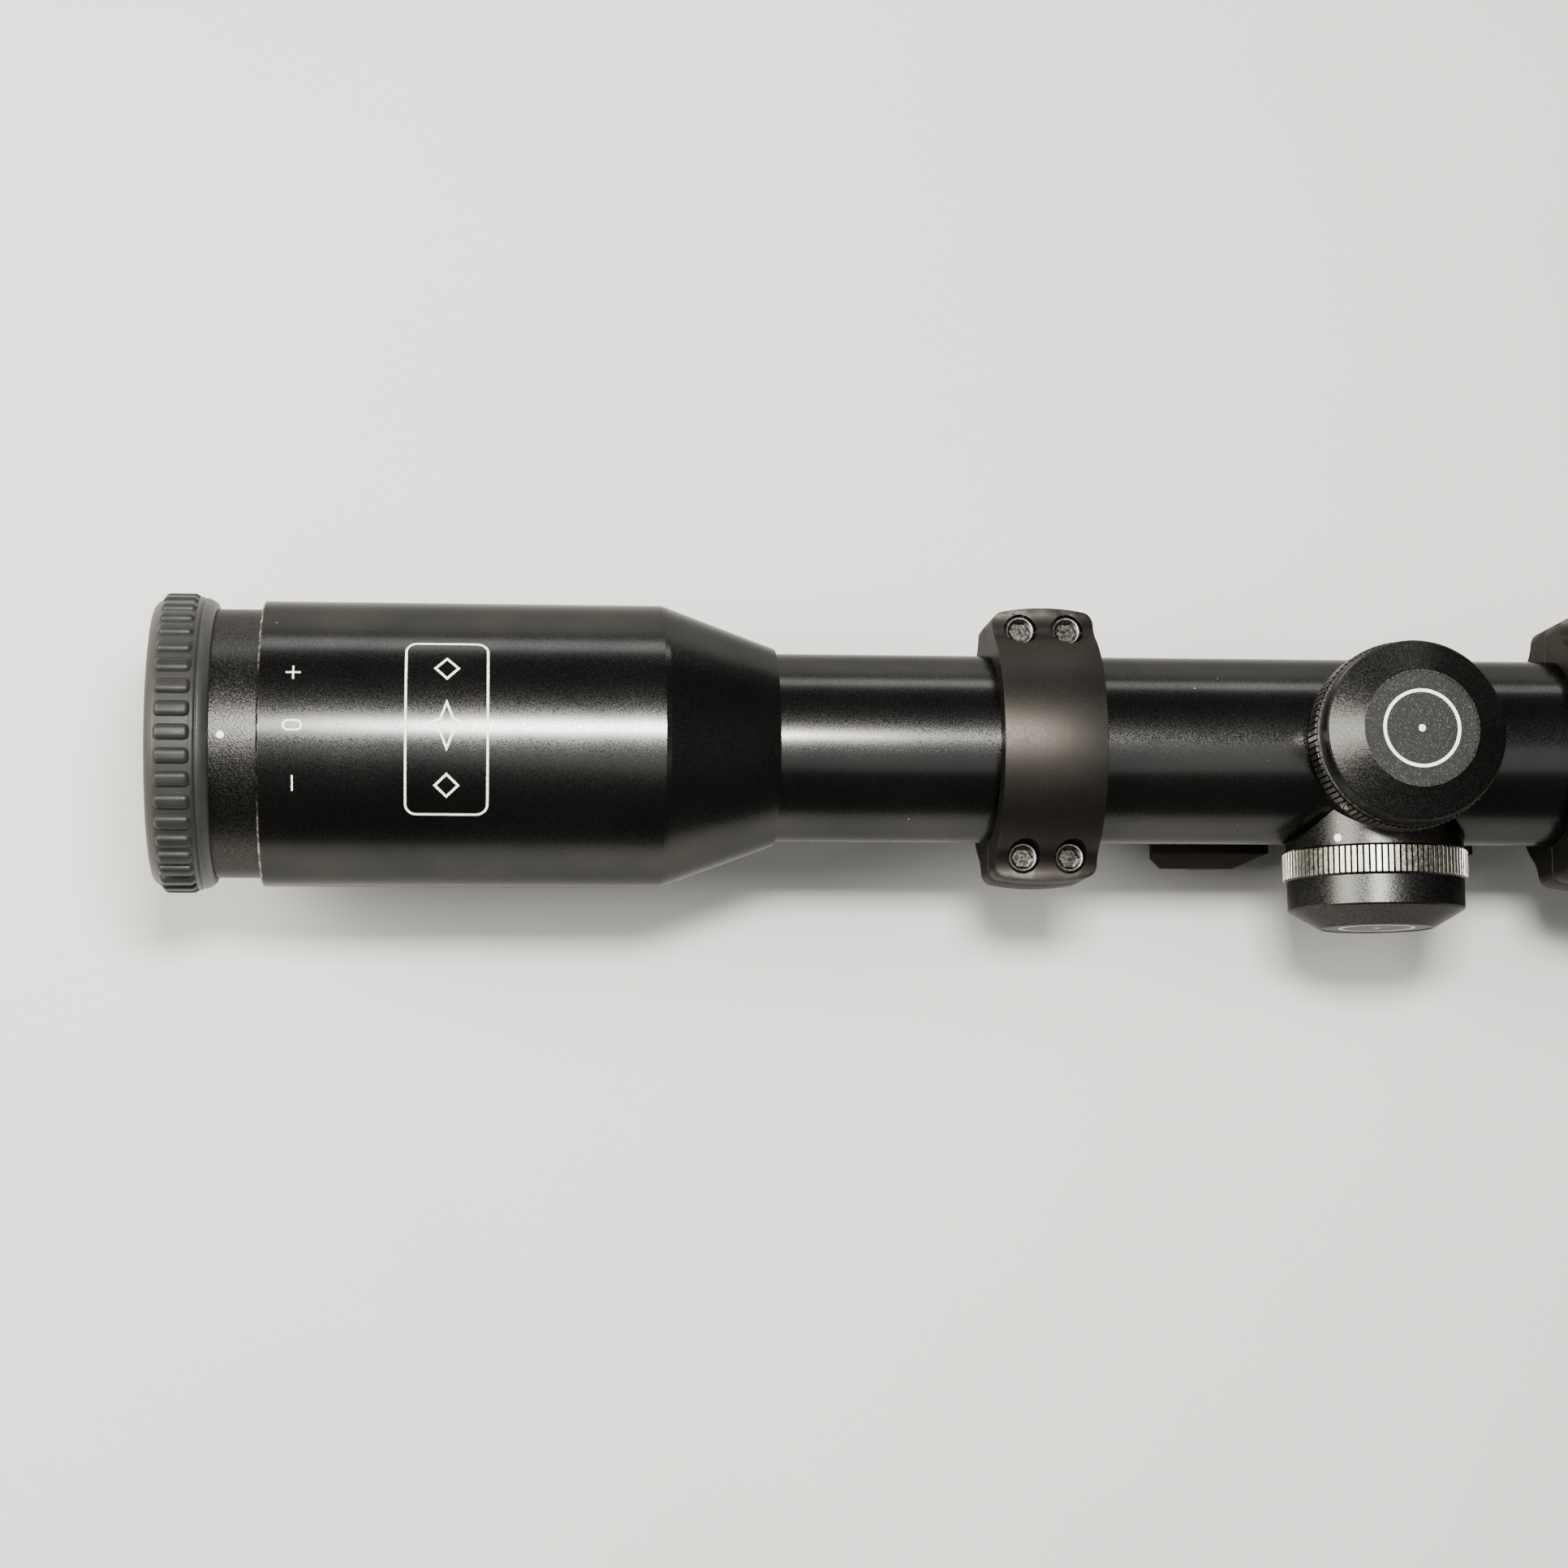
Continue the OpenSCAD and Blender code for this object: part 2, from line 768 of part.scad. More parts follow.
// One-piece mount: lower ring halves, bridge, and the fixed jaw on the left side
module mount_block() {
    fixed_jaw_len = 62;
    color("#242221") difference() {
        union() {
            for (side = [-1, 1]) {
                at_ring(side) mirror([0, 0, 1]) half_ring();
                translate([side * ring_x - ring_w / 2, -bridge_half, 0])
                    cube([ring_w, 2 * bridge_half, axis_h - 12]);
            }
            rotate([90, 0, 90]) translate([0, 0, -ring_x - ring_w / 2]) linear_extrude(2 * ring_x + ring_w)
                polygon([
                    [-bridge_half, 0], [bridge_half, 0], [bridge_half, bridge_top - 1.5],
                    [bridge_half - 1.5, bridge_top], [-bridge_half + 1.5, bridge_top],
                    [-bridge_half, bridge_top - 1.5]
                ]);
            rotate([90, 0, 90]) translate([0, 0, 5 - fixed_jaw_len / 2]) linear_extrude(fixed_jaw_len)
                polygon([
                    [seat_half, 0], [rail_half, rail_drop], [lip_y, rail_drop - rail_half + lip_y],
                    [lip_y, jaw_low], [jaw_out, jaw_low], [jaw_out, 2.4], [jaw_out - 2, jaw_top],
                    [bridge_half, jaw_top], [seat_half, jaw_top]
                ]);
        }
        sight() along(tube_r, -far * 2, far * 2);
        for (side = [-1, 1]) {
            at_ring(side) at_screws() upright(1.5, -6, 1);
        }
        for (x = jaw_x) {
            translate([x - 8.6, -bridge_half - 1, -1]) cube([17.2, bridge_half + 1 - 8.65, jaw_top + 1.05]);
            translate([x, -far / 2, bolt_z]) rotate([-90, 0, 0]) cylinder(r = bolt_r + slack, h = far);
        }
    }
}

// Sliding jaw on the right side: a wide foot, slanted at its front corner, on a narrower hook
module clamp_jaw(x) {
    foot_half = 8.4;
    foot_low = 1.9;
    hook_half = 5.6;
    hook_out = 12.2;
    inner_y = 8.7;
    difference() {
        union() {
            intersection() {
                rotate([90, 0, 90]) translate([0, 0, x - foot_half]) linear_extrude(2 * foot_half) polygon([
                    [-inner_y, jaw_top], [-inner_y, foot_low], [-jaw_out, foot_low], [-jaw_out, 2.4],
                    [-jaw_out + 2, jaw_top]
                ]);
                translate([x, 0, -far / 2]) linear_extrude(far) polygon([
                    [-foot_half, 0], [-foot_half, -jaw_out + 1.4], [-foot_half + 1.4, -jaw_out],
                    [foot_half - 4.8, -jaw_out], [foot_half, -jaw_out + 2.1], [foot_half, 0]
                ]);
            }
            rotate([90, 0, 90]) translate([0, 0, x - hook_half]) linear_extrude(2 * hook_half) polygon([
                [-inner_y, foot_low + 1], [-inner_y, -0.9], [-rail_half - slack, rail_drop],
                [-lip_y, rail_drop - rail_half + lip_y], [-lip_y, jaw_low], [-hook_out, jaw_low],
                [-hook_out, foot_low + 1]
            ]);
        }
        translate([x, -far, bolt_z]) rotate([-90, 0, 0]) cylinder(r = bolt_r + slack, h = far);
    }
}

module clamp_jaw_rear() {
    color("#1e1d1c") clamp_jaw(jaw_x[0]);
}

module clamp_jaw_front() {
    color("#1e1d1c") clamp_jaw(jaw_x[1]);
}

// Cross bolt: its head bears on the fixed jaw and its thread draws the sliding jaw in
module clamp_screw(x) {
    head_r = 4.4;
    head_h = 3;
    translate([x, 0, bolt_z]) rotate([-90, 0, 0]) difference() {
        union() {
            upright(bolt_r, -13.3, jaw_out + 0.1);
            rotate_extrude() polygon([
                [0, jaw_out + slack], [head_r, jaw_out + slack], [head_r, jaw_out + head_h - 0.5],
                [head_r - 0.5, jaw_out + head_h], [0, jaw_out + head_h]
            ]);
        }
        translate([0, 0, jaw_out + 1.2]) cylinder(r = 2.3, h = head_h, $fn = 6);
    }
}

module clamp_screw_rear() {
    color("#55555a") clamp_screw(jaw_x[0]);
}

module clamp_screw_front() {
    color("#55555a") clamp_screw(jaw_x[1]);
}

main_tube();
objective_bell();
eyepiece_housing();
elevation_neck();
windage_neck();
objective_crown_lens();
objective_flint_lens();
objective_lock_ring();
objective_seal();
gimbal_seat();
gimbal_seat_pins();
return_spring();
return_spring_screw();
guide_screw();
mount_block();
ring_cap_rear();
ring_cap_front();
cap_screws_rear();
cap_screws_front();
elevation_click_ring();
windage_click_ring();
elevation_lock_ring();
windage_lock_ring();
elevation_knob();
elevation_knob_disc();
elevation_set_screws();
elevation_spindle();
elevation_seal();
elevation_click_ball();
elevation_click_spring();
elevation_plunger();
windage_knob();
windage_knob_disc();
windage_set_screws();
windage_spindle();
windage_seal();
windage_click_ball();
windage_click_spring();
windage_plunger();
gimbal_ring();
erector_tube();
gimbal_tube_pins();
reticle_cell();
reticle_disc();
collector_lens();
erector_lens_front();
erector_lens_rear();
erector_lock_ring();
ocular_cell();
eye_lens();
field_lens();
lens_spacer();
eye_lens_ring();
diopter_barrel();
rubber_ring();
barrel_seal();
clamp_jaw_rear();
clamp_jaw_front();
clamp_screw_rear();
clamp_screw_front();
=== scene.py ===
import json
import math

import bmesh
import bpy
from mathutils import Matrix, Vector


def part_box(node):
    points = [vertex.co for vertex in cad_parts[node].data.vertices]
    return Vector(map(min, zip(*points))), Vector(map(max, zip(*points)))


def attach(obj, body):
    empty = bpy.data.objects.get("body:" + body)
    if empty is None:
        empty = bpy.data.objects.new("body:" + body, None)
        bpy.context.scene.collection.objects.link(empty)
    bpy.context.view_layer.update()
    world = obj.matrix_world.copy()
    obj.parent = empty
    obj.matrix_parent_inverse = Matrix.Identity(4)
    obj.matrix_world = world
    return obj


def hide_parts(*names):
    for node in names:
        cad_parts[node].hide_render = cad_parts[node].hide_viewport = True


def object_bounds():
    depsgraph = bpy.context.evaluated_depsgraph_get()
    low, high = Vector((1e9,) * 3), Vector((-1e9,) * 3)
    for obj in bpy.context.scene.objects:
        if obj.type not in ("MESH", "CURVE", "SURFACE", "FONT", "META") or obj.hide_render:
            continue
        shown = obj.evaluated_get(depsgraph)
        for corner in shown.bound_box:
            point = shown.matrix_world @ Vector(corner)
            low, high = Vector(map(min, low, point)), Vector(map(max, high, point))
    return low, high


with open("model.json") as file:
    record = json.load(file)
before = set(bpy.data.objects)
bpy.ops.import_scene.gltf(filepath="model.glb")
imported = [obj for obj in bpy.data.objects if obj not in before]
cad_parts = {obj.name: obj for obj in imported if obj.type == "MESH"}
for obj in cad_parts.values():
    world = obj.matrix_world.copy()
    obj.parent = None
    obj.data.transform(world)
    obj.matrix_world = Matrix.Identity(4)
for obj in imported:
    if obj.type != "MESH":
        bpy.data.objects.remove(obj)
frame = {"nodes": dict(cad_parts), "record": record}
cad_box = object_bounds()

MM = 0.001
TURN = 2 * math.pi

# ---- Places taken from the frame ----


def middle(node):
    """The middle of a node's box, in metres."""
    low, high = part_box(node)
    return (Vector(low) + Vector(high)) / 2


def span(node, axis):
    """The lowest and highest coordinate of a node along one axis, in metres."""
    low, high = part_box(node)
    return low[axis], high[axis]


AXIS = middle("eyepiece_housing")
TURRET = middle("elevation_knob")
HOUSING_R = (span("eyepiece_housing", 1)[1] - span("eyepiece_housing", 1)[0]) / 2
BARREL_R = (span("diopter_barrel", 1)[1] - span("diopter_barrel", 1)[0]) / 2
KNURL_R = (span("elevation_knob", 0)[1] - span("elevation_knob", 0)[0]) / 2
RUBBER_R = (span("rubber_ring", 1)[1] - span("rubber_ring", 1)[0]) / 2
SET_SCREW_ANGLES = (-132, -12)  # degrees round each turret
SHARP_ANGLE = math.radians(38)  # edges that turn more than this stay sharp
FLOOR_Z = cad_box[0][2]

# ---- Materials ----


class Finish:
    """A material's node tree, with short calls for the patterns that the finishes share."""

    def __init__(self, name):
        self.material = bpy.data.materials.new(name)
        self.material.use_nodes = True
        self.tree = self.material.node_tree
        self.shader = self.tree.nodes["Principled BSDF"]
        self.coords = self.tree.nodes.new("ShaderNodeTexCoord").outputs["Object"]

    def add(self, kind, **settings):
        node = self.tree.nodes.new(kind)
        for key, value in settings.items():
            setattr(node, key, value)
        return node

    def link(self, source, target):
        self.tree.links.new(source, target)

    def noise(self, size, detail=2.0, stretch=None):
        """Noise whose features are about size metres across, drawn out along an axis by stretch."""
        node = self.add("ShaderNodeTexNoise")
        node.inputs["Scale"].default_value = 1 / size
        node.inputs["Detail"].default_value = detail
        source = self.coords
        if stretch:
            mapping = self.add("ShaderNodeMapping")
            mapping.inputs["Scale"].default_value = stretch
            self.link(source, mapping.inputs["Vector"])
            source = mapping.outputs["Vector"]
        self.link(source, node.inputs["Vector"])
        return node.outputs["Fac"]

    def steps(self, source, low, high, start=0.0, end=1.0):
        """Maps source from low..high to start..end, held at both ends."""
        node = self.add("ShaderNodeMapRange")
        node.inputs["From Min"].default_value = low
        node.inputs["From Max"].default_value = high
        node.inputs["To Min"].default_value = start
        node.inputs["To Max"].default_value = end
        self.link(source, node.inputs["Value"])
        return node.outputs["Result"]

    def mix(self, factor, first, second):
        """Colour that goes from first to second; each is a colour or a socket."""
        node = self.add("ShaderNodeMix", data_type="RGBA")
        self.link(factor, node.inputs["Factor"])
        for name, value in (("A", first), ("B", second)):
            socket = [s for s in node.inputs if s.name == name and s.type == "RGBA"][0]
            if isinstance(value, tuple):
                socket.default_value = (*value, 1)
            else:
                self.link(value, socket)
        return [s for s in node.outputs if s.type == "RGBA"][0]

    def maths(self, operation, first, second=None):
        node = self.add("ShaderNodeMath", operation=operation)
        for socket, value in zip(node.inputs, (first, second)):
            if value is None:
                continue
            if isinstance(value, (int, float)):
                socket.default_value = value
            else:
                self.link(value, socket)
        return node.outputs["Value"]

    def specks(self, size, share):
        """Small dust grains, one in some cells of a fine pattern."""
        cells = self.add("ShaderNodeTexVoronoi")
        cells.inputs["Scale"].default_value = 1 / size
        self.link(self.coords, cells.inputs["Vector"])
        dot = self.steps(cells.outputs["Distance"], 0.034, 0.016)
        shade = self.add("ShaderNodeSeparateColor")
        self.link(cells.outputs["Color"], shade.inputs["Color"])
        chosen = self.steps(shade.outputs["Red"], 1 - share, 1.0)
        return self.maths("MULTIPLY", dot, chosen)

    def distance(self, point):
        """Distance in metres from a point of the row frame."""
        offset = self.add("ShaderNodeVectorMath", operation="DISTANCE")
        self.link(self.coords, offset.inputs[0])
        offset.inputs[1].default_value = point
        return offset.outputs["Value"]

    def along(self, axis):
        """Coordinate along one axis, in metres."""
        parts = self.add("ShaderNodeSeparateXYZ")
        self.link(self.coords, parts.inputs["Vector"])
        return parts.outputs[axis]

    def radius(self, centre, axis):
        """Distance in metres from a line through centre along an axis."""
        flat = self.add("ShaderNodeVectorMath", operation="SUBTRACT")
        self.link(self.coords, flat.inputs[0])
        flat.inputs[1].default_value = centre
        across = self.add("ShaderNodeVectorMath", operation="MULTIPLY")
        self.link(flat.outputs["Vector"], across.inputs[0])
        across.inputs[1].default_value = [0.0 if name == axis else 1.0 for name in "XYZ"]
        length = self.add("ShaderNodeVectorMath", operation="LENGTH")
        self.link(across.outputs["Vector"], length.inputs[0])
        return length.outputs["Value"]

    def colour(self, socket):
        self.link(socket, self.shader.inputs["Base Color"])

    def anodised(self):
        """Dyed oxide on aluminium: dark when seen straight on, and little brighter at a slant."""
        self.set(Metallic=1.0, Specular_Tint=(0.5, 0.5, 0.5, 1.0))

    def roughness(self, socket):
        self.link(socket, self.shader.inputs["Roughness"])

    def bump(self, height, depth, strength=1.0):
        node = self.add("ShaderNodeBump")
        node.inputs["Distance"].default_value = depth
        node.inputs["Strength"].default_value = strength
        self.link(height, node.inputs["Height"])
        self.link(node.outputs["Normal"], self.shader.inputs["Normal"])

    def set(self, **values):
        for key, value in values.items():
            self.shader.inputs[key.replace("_", " ")].default_value = value


def satin_black(name="satin_black", worn=None):
    """Satin anodised tube and housing: turned, nearly black, with a little dust on it."""
    f = Finish(name)
    f.anodised()
    shade = f.steps(f.noise(0.012), 0.35, 0.65)
    base = f.mix(shade, (0.040, 0.040, 0.039), (0.052, 0.051, 0.048))
    if worn:
        base = f.mix(worn(f), base, (0.62, 0.58, 0.50))
    f.colour(f.mix(f.specks(0.0032, 0.30), base, (0.80, 0.76, 0.68)))
    f.roughness(f.steps(f.noise(0.00014, 2.0), 0.35, 0.65, 0.15, 0.31))
    return f.material


def blasted_black(name="blasted_black", worn=None):
    """Bead-blasted anodised knobs and barrel: a fine grain that sparkles in the light."""
    f = Finish(name)
    f.anodised()
    grain = f.noise(0.00022, 2.0)
    base = f.mix(f.steps(grain, 0.44, 0.68), (0.034, 0.034, 0.032), (0.074, 0.071, 0.066))
    rough = f.steps(grain, 0.3, 0.7, 0.26, 0.40)
    if worn:
        # Lighter metal where the pattern says: wear, and on the knurl tops partly painted sheen.
        bare = worn(f)
        base = f.mix(bare, base, (0.44, 0.42, 0.35))
        rough = f.maths("MAXIMUM", rough, f.maths("MULTIPLY", bare, 0.52))
    f.colour(f.mix(f.specks(0.0030, 0.25), base, (0.74, 0.70, 0.62)))
    f.roughness(rough)
    f.bump(grain, 0.000030, 0.8)
    return f.material


def rim_wear():
    """Bare metal in patches along the rear edge of the eyepiece housing."""

    def pattern(f):
        edge = span("eyepiece_housing", 0)[0]
        at_edge = f.steps(f.along("X"), edge + 0.34 * MM, edge + 0.18 * MM)
        broken = f.steps(f.noise(0.0012, 4.0), 0.45, 0.62, 0.10, 0.75)
        return f.maths("MULTIPLY", at_edge, broken)

    return pattern


def knob_wear_and_sheen(node, axis, strength):
    """Lighter bare metal on the tops of a knob's knurled band, partly wear and partly painted sheen
    standing in for glints, and wear on the rims of its set screw holes.
    """
    centre = middle(node)
    holes = span("elevation_set_screws", 2)
    height = (holes[0] + holes[1]) / 2 - AXIS.z

    def pattern(f):
        # Knurl tops: partly wear, partly painted sheen.
        outer = f.steps(f.radius(centre, axis), KNURL_R - 0.10 * MM, KNURL_R - 0.01 * MM)
        broken = f.steps(f.noise(0.0004, 2.0), 0.35, 0.65, 0.5 * strength, strength)
        worn = f.maths("MULTIPLY", outer, broken)
        for degrees in SET_SCREW_ANGLES:
            a = math.radians(degrees)
            x, across = TURRET.x + KNURL_R * math.cos(a), KNURL_R * math.sin(a)
            hole = Vector((x, AXIS.y + across, AXIS.z + height))
            if axis == "Y":
                hole = Vector((x, AXIS.y - height, AXIS.z + across))
            rim = f.steps(f.distance(hole), 0.86 * MM, 0.74 * MM)
            worn = f.maths("MAXIMUM", worn, rim)
        return worn

    return pattern


def matte_mount():
    """Matte brown-black anodising of the rings and the mount."""
    f = Finish("matte_mount")
    f.anodised()
    base = f.mix(f.steps(f.noise(0.009), 0.3, 0.7), (0.030, 0.0275, 0.024), (0.040, 0.0365, 0.032))
    f.colour(f.mix(f.specks(0.0034, 0.14), base, (0.5, 0.46, 0.4)))
    grain = f.noise(0.00030, 3.0)
    f.roughness(f.steps(grain, 0.3, 0.7, 0.42, 0.50))
    f.bump(grain, 0.000008, 0.5)
    return f.material


def grainy_disc():
    """Inlaid top plate of a knob: coarse dark grain."""
    f = Finish("grainy_disc")
    f.set(Metallic=0.0, Specular_IOR_Level=0.28)
    grain = f.noise(0.00022, 2.0)
    base = f.mix(f.steps(grain, 0.54, 0.74), (0.0035, 0.0035, 0.0038), (0.060, 0.058, 0.053))
    f.colour(base)
    f.roughness(f.steps(grain, 0.3, 0.7, 0.42, 0.62))
    f.bump(grain, 0.00004, 0.8)
    return f.material


def grip_rubber():
    """Moulded dark grey rubber: a dusty bloom between the ribs, rubbed off on top of them, and a painted
    highlight along the rear edge.
    """
    f = Finish("grip_rubber")
    f.set(Specular_IOR_Level=0.26)
    bloom = f.steps(f.noise(0.004, 4.0), 0.35, 0.7)
    dusty = f.mix(bloom, (0.018, 0.018, 0.016), (0.026, 0.026, 0.023))
    rubbed = f.mix(bloom, (0.012, 0.012, 0.011), (0.018, 0.018, 0.016))
    height = f.radius((0, AXIS.y, AXIS.z), "X")
    base = f.mix(f.steps(height, RUBBER_R - 0.55 * MM, RUBBER_R - 0.40 * MM), dusty, rubbed)
    # Painted highlight: the rear edge of the ring is made lighter, standing in for the light that falls on
    # it from the left.
    rear = span("rubber_ring", 0)[0]
    base = f.mix(f.steps(f.along("X"), rear + 1.7 * MM, rear + 0.7 * MM), base, (0.034, 0.034, 0.028))
    f.colour(f.mix(f.specks(0.0028, 0.14), base, (0.26, 0.25, 0.22)))
    grain = f.noise(0.00020, 3.0)
    f.roughness(f.steps(grain, 0.3, 0.7, 0.36, 0.52))
    f.bump(grain, 0.000016, 0.6)
    return f.material


def white_paint():
    """Cream-white paint filled into engraved marks."""
    f = Finish("white_paint")
    f.set(Roughness=0.5)
    worn = f.steps(f.noise(0.0006, 3.0), 0.3, 0.6)
    f.colour(f.mix(worn, (0.76, 0.74, 0.66), (0.90, 0.88, 0.80)))
    return f.material


def metal(name, dark, light, rough):
    """Bare metal with a fine mottle: brass, bright steel or blackened steel."""
    f = Finish(name)
    f.set(Metallic=1.0)
    marks = f.noise(0.0004, 3.0)
    f.colour(f.mix(f.steps(marks, 0.3, 0.7), dark, light))
    f.roughness(f.steps(marks, 0.3, 0.7, rough, rough + 0.12))
    f.bump(marks, 0.000003, 0.5)
    return f.material


def inner_black():
    """Matte black of the inside parts, which swallows stray light."""
    f = Finish("inner_black")
    f.set(Specular_IOR_Level=0.3)
    f.colour(f.mix(f.noise(0.001), (0.010, 0.010, 0.011), (0.018, 0.018, 0.019)))
    ribs = f.noise(0.0004, 1.0, stretch=(1.0, 0.02, 0.02))
    f.roughness(f.steps(ribs, 0.3, 0.7, 0.6, 0.75))
    f.bump(ribs, 0.00002, 0.6)
    return f.material


def seal_rubber():
    """Plain black rubber of the sealing rings."""
    f = Finish("seal_rubber")
    f.colour(f.mix(f.noise(0.002), (0.008, 0.008, 0.008), (0.014, 0.014, 0.014)))
    f.set(Roughness=0.5)
    return f.material


def coated_glass():
    """Optical glass with a blue-green anti-reflection coating."""
    f = Finish("coated_glass")
    f.set(Roughness=0.0, IOR=1.52, Metallic=0.0)
    f.set(Transmission_Weight=1.0, Specular_IOR_Level=0.3, Coat_Weight=0.4, Coat_Roughness=0.02)
    f.set(Coat_Tint=(0.50, 0.70, 0.86, 1.0))
    f.colour(f.mix(f.noise(0.02), (0.80, 0.90, 0.93), (0.86, 0.88, 0.96)))
    return f.material


def pale_floor():
    """Matte, nearly white paper under the sight."""
    f = Finish("pale_floor")
    f.colour(f.mix(f.noise(0.05, 4.0), (0.60, 0.59, 0.57), (0.64, 0.63, 0.61)))
    f.set(Roughness=0.85)
    return f.material


SATIN = satin_black()
BLASTED = blasted_black()
MOUNT = matte_mount()
DISC = grainy_disc()
RUBBER = grip_rubber()
WHITE = white_paint()
BRASS = metal("turned_brass", (0.48, 0.33, 0.12), (0.62, 0.45, 0.18), 0.25)
STEEL = metal("bright_steel", (0.42, 0.42, 0.43), (0.60, 0.60, 0.61), 0.22)
DARK_STEEL = metal("blackened_steel", (0.045, 0.046, 0.048), (0.085, 0.086, 0.088), 0.3)
WORN_STEEL = metal("worn_steel", (0.20, 0.20, 0.18), (0.42, 0.42, 0.39), 0.28)
# Near-black metal for the inside of the hex sockets: painted shade in the recess.
SOCKET_SHADE = metal("socket_painted_shade", (0.012, 0.012, 0.010), (0.05, 0.05, 0.042), 0.18)
INNER = inner_black()
SEAL = seal_rubber()
GLASS = coated_glass()

FINISH_OF_SLOT = {
    "black_anodised": SATIN,
    "blasted_black": BLASTED,
    "mount_black": MOUNT,
    "disc_grey": DISC,
    "inner_aluminium": INNER,
    "screw_steel": DARK_STEEL,
    "bright_steel": STEEL,
    "brass": BRASS,
    "rubber": RUBBER,
    "seal_rubber": SEAL,
    "coated_glass": GLASS,
}


def paint_nodes():
    """Gives every CAD node the finish of its material slot."""
    slots = {part["node"]: part["material_slot"] for part in frame["record"]["subparts"]}
    for node, obj in frame["nodes"].items():
        obj.data.materials.clear()
        obj.data.materials.append(FINISH_OF_SLOT[slots[node]])
    # Strength sets how light the knurl tops are; the windage knob's are made lighter, partly as painted
    # sheen.
    for node, axis, strength in (("elevation_knob", "Z", 0.5), ("windage_knob", "Y", 0.95)):
        finish = blasted_black(node + "_finish", knob_wear_and_sheen(node, axis, strength))
        frame["nodes"][node].data.materials[0] = finish
    frame["nodes"]["eyepiece_housing"].data.materials[0] = satin_black("housing_finish", rim_wear())


def soften_edges():
    """Rounds the sharp edges of the rings, the mount and the jaws a little."""
    weld, rounding = 0.002 * MM, 0.3 * MM
    for node in ("ring_cap_rear", "ring_cap_front", "mount_block", "clamp_jaw_rear", "clamp_jaw_front"):
        obj = frame["nodes"][node]
        joined = obj.modifiers.new("joined", "WELD")
        joined.merge_threshold = weld
        rounded = obj.modifiers.new("rounded", "BEVEL")
        rounded.width = rounding
        rounded.segments = 3
        rounded.limit_method = "ANGLE"
        rounded.angle_limit = SHARP_ANGLE
        rounded.harden_normals = True


# ---- Shapes ----


def make_piece(name, bm, body, materials, smooth=True):
    """Turns a bmesh in metres into a piece that rides on a body."""
    bmesh.ops.remove_doubles(bm, verts=bm.verts, dist=1e-7)
    bmesh.ops.recalc_face_normals(bm, faces=bm.faces)
    mesh = bpy.data.meshes.new(name)
    bm.to_mesh(mesh)
    bm.free()
    for material in materials:
        mesh.materials.append(material)
    obj = bpy.data.objects.new(name, mesh)
    bpy.context.scene.collection.objects.link(obj)
    if smooth:
        mesh.shade_smooth()
        mesh.set_sharp_from_angle(angle=SHARP_ANGLE)
    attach(obj, body)
    return obj


def lathe(bm, profile, centre, axis, steps, rounded=(), radius=0.0):
    """Spins a closed profile of (along, radius) points in mm about axis through centre.
    The corners whose numbers are in rounded get arcs of that radius."""
    along = Vector(axis)
    out = Vector((0, 0, 1)) if abs(along.z) < 0.5 else Vector((1, 0, 0))
    verts = [bm.verts.new(Vector(centre) + along * (a * MM) + out * (r * MM)) for a, r in profile]
    edges = [bm.edges.new((v, w)) for v, w in zip(verts, verts[1:] + verts[:1])]
    made = set(verts)
    if rounded:
        result = bmesh.ops.bevel(
            bm, geom=[verts[i] for i in rounded], offset=radius * MM, segments=4,
            profile=0.5, affect="VERTICES", material=-1)
        made = {v for v in made if v.is_valid} | set(result["verts"])
    loop = list(made)
    edges = list({e for v in loop for e in v.link_edges})
    bmesh.ops.spin(
        bm, geom=loop + edges, cent=centre, axis=along, angle=TURN, steps=steps,
        use_merge=True, use_duplicate=False)


def wrap(bm, verts, x, angle, radius):
    """Lays flat shapes, drawn in mm with X along the tube and Y around it, on a cylinder round the axis."""
    for v in verts:
        around = angle + v.co.y * MM / radius
        height = radius + v.co.z * MM
        y, z = AXIS.y + height * math.sin(around), AXIS.z + height * math.cos(around)
        v.co = Vector((x + v.co.x * MM, y, z))


PAINT_PROUD = 0.012  # mm that painted marks stand above the metal
PAINT_SUNK = 0.02  # mm that they reach into it


def thicken(bm, faces):
    """Gives flat faces the thickness of a painted mark."""
    made = bmesh.ops.extrude_face_region(bm, geom=faces)["geom"]
    top = [g for g in made if isinstance(g, bmesh.types.BMVert)]
    bottom = [v for f in faces if f.is_valid for v in f.verts]
    bmesh.ops.translate(bm, verts=top, vec=(0, 0, PAINT_PROUD))
    bmesh.ops.translate(bm, verts=list(set(bottom)), vec=(0, 0, -PAINT_SUNK))


def cut_long_edges(bm, longest):
    """Cuts edges until none is longer than longest mm."""
    for _ in range(6):
        long = [e for e in bm.edges if e.calc_length() > longest]
        if not long:
            return
        bmesh.ops.subdivide_edges(bm, edges=long, cuts=1, use_grid_fill=True)


def stroke(bm, start, end, width):
    """A straight stroke with square ends between two points."""
    a, b = Vector((*start, 0)), Vector((*end, 0))
    side = (b - a).normalized().cross(Vector((0, 0, 1))) * width / 2
    return bm.faces.new([bm.verts.new(p) for p in (a - side, b - side, b + side, a + side)])


def outline(bm, points, width):
    """A closed line of that width just inside a closed figure."""
    face = bm.faces.new([bm.verts.new((*p, 0)) for p in points])
    face.normal_update()
    bmesh.ops.inset_region(bm, faces=[face], thickness=width, use_boundary=True, use_even_offset=True)
    bmesh.ops.delete(bm, geom=[face], context="FACES_ONLY")


